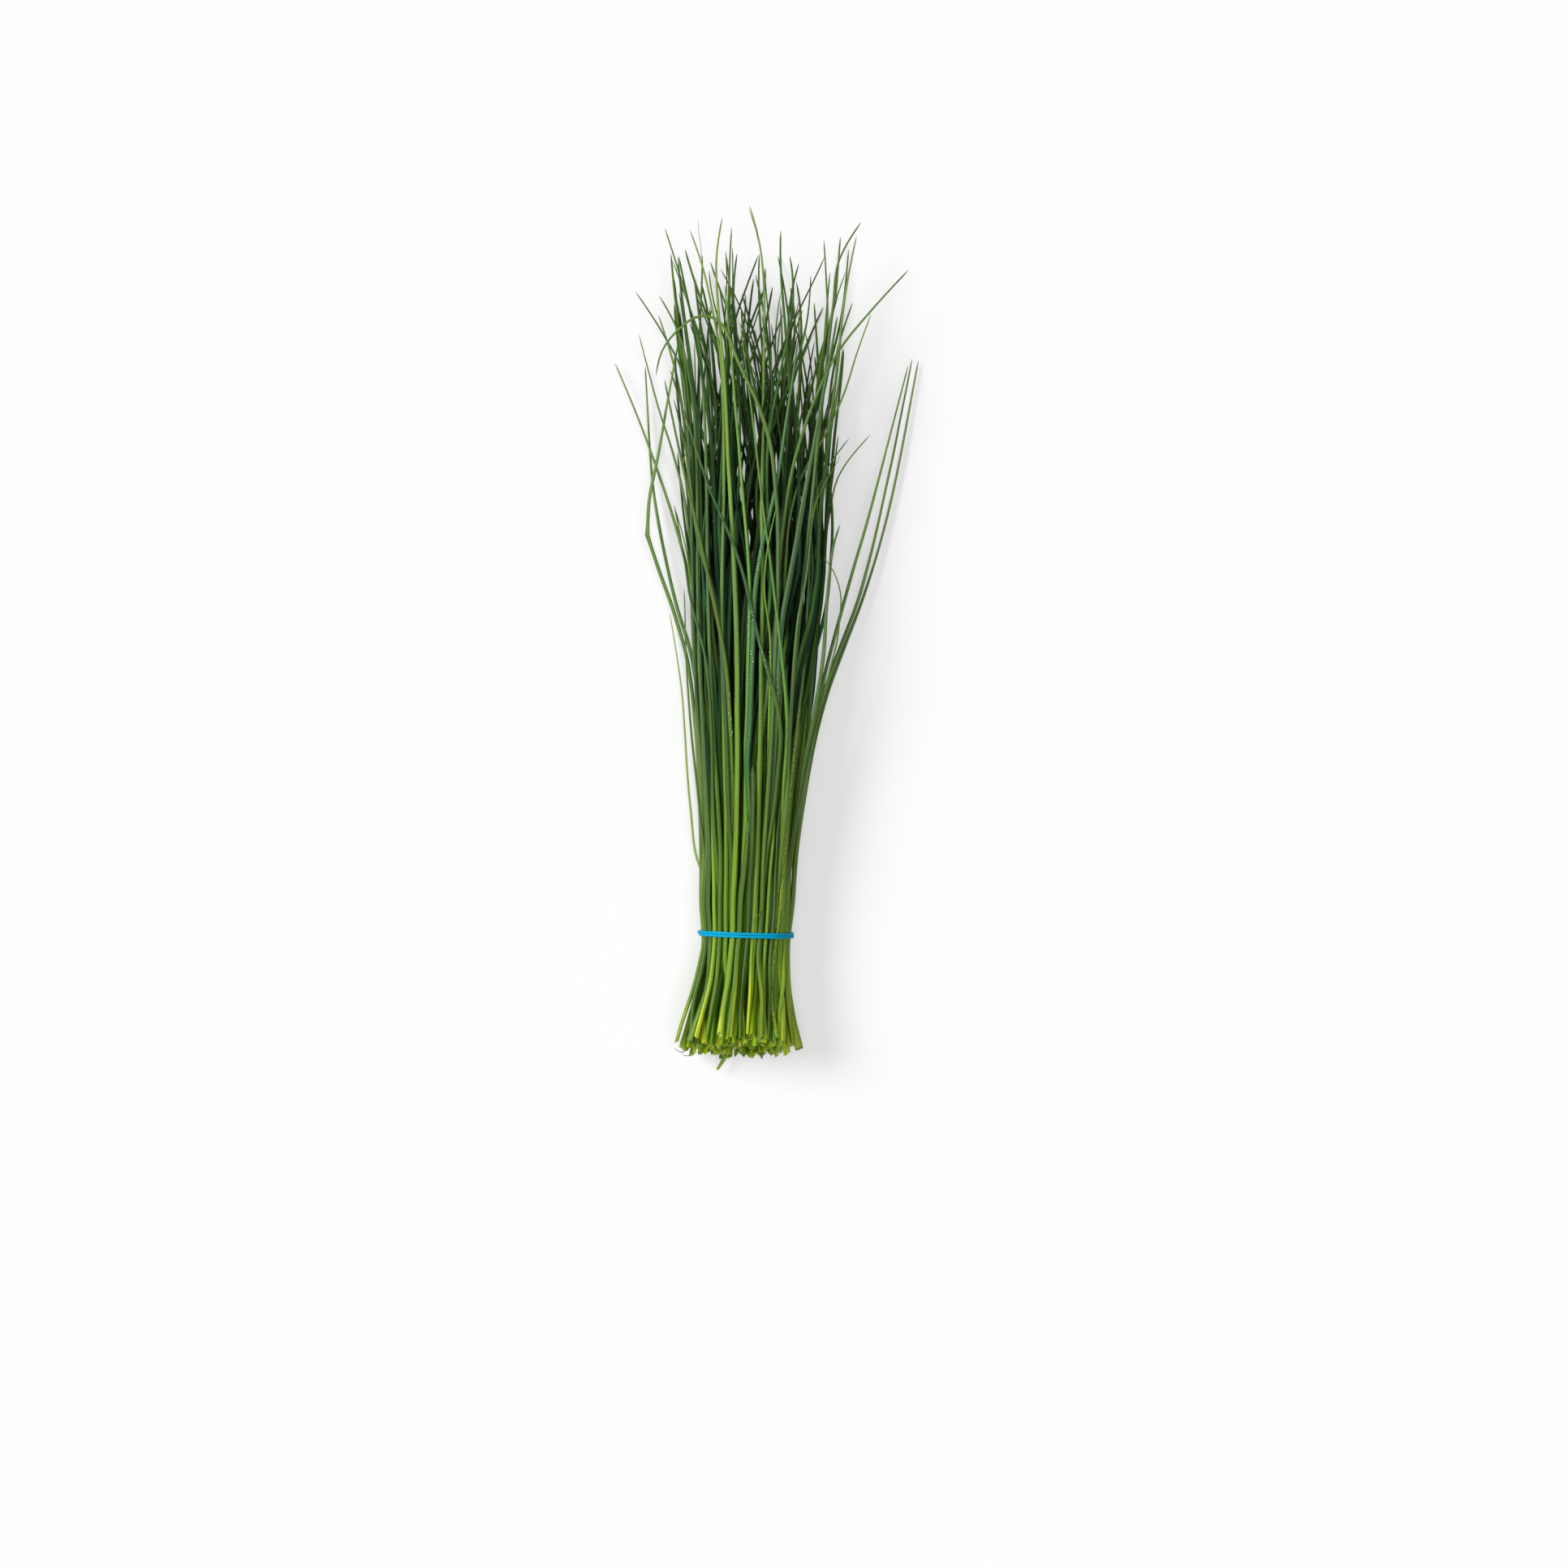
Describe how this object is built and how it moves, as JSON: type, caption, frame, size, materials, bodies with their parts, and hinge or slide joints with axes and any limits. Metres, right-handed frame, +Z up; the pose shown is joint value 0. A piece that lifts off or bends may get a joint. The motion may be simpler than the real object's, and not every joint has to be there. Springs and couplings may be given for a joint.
{
  "type": "chive bunch",
  "caption": "Bunch of fresh chives lying down: long thin tapering green leaves, cut straight at the foot, loosely spread at the tips and held near the cut ends by a blue rubber band.",
  "frame": {"origin": "on the surface the bunch lies on, at the middle of the underside of the rubber band", "axes": "+Y along the bunch from the cut ends towards the tips, +X across the bunch to the right when seen from above with the tips up, +Z up"},
  "size_m": [0.1022, 0.284, 0.0315],
  "materials": {
    "leaf": null,
    "pale_leaf": null,
    "rubber_band": "bright blue natural rubber, satin"
  },
  "bodies": {
    "root": {"outer_leaf_02": "leaf", "outer_leaf_22": "leaf", "outer_leaf_24": "leaf", "outer_leaf_25": "leaf", "outer_leaf_26": "leaf", "outer_leaf_27": "leaf", "outer_leaf_28": "leaf", "outer_leaf_29": "leaf", "outer_leaf_30": "leaf", "outer_leaf_31": "leaf", "outer_leaf_32": "leaf", "outer_leaf_33": "leaf", "outer_leaf_34": "leaf", "outer_leaf_35": "leaf", "outer_leaf_36": "leaf", "rubber_band": "rubber_band", "second_leaf_01": "leaf", "second_leaf_02": "leaf", "second_leaf_03": "leaf", "second_leaf_04": "leaf", "second_leaf_05": "leaf", "second_leaf_06": "leaf", "second_leaf_07": "leaf", "second_leaf_08": "leaf", "second_leaf_09": "leaf", "second_leaf_10": "leaf", "second_leaf_11": "leaf", "second_leaf_12": "leaf", "second_leaf_13": "leaf", "second_leaf_14": "leaf", "second_leaf_15": "leaf", "second_leaf_16": "leaf", "second_leaf_17": "leaf", "second_leaf_18": "leaf", "second_leaf_19": "leaf", "second_leaf_20": "leaf", "second_leaf_21": "leaf", "stray_leaf_01": "leaf", "stray_leaf_02": "leaf", "stray_leaf_03": "leaf", "stray_leaf_04": "leaf", "stray_leaf_05": "leaf", "stray_leaf_06": "leaf", "stray_leaf_07": "pale_leaf", "stray_leaf_08": "pale_leaf", "stray_leaf_09": "leaf", "stray_leaf_10": "leaf", "stray_leaf_11": "leaf", "stray_leaf_12": "leaf", "stray_leaf_13": "leaf", "stray_leaf_14": "leaf", "stray_leaf_15": "leaf", "stray_leaf_16": "leaf", "stray_leaf_17": "leaf", "stray_leaf_18": "pale_leaf", "stray_leaf_19": "leaf", "stray_leaf_20": "leaf", "stray_leaf_21": "leaf", "stray_leaf_22": "leaf", "stray_leaf_23": "leaf"}
  },
  "joints": []
}
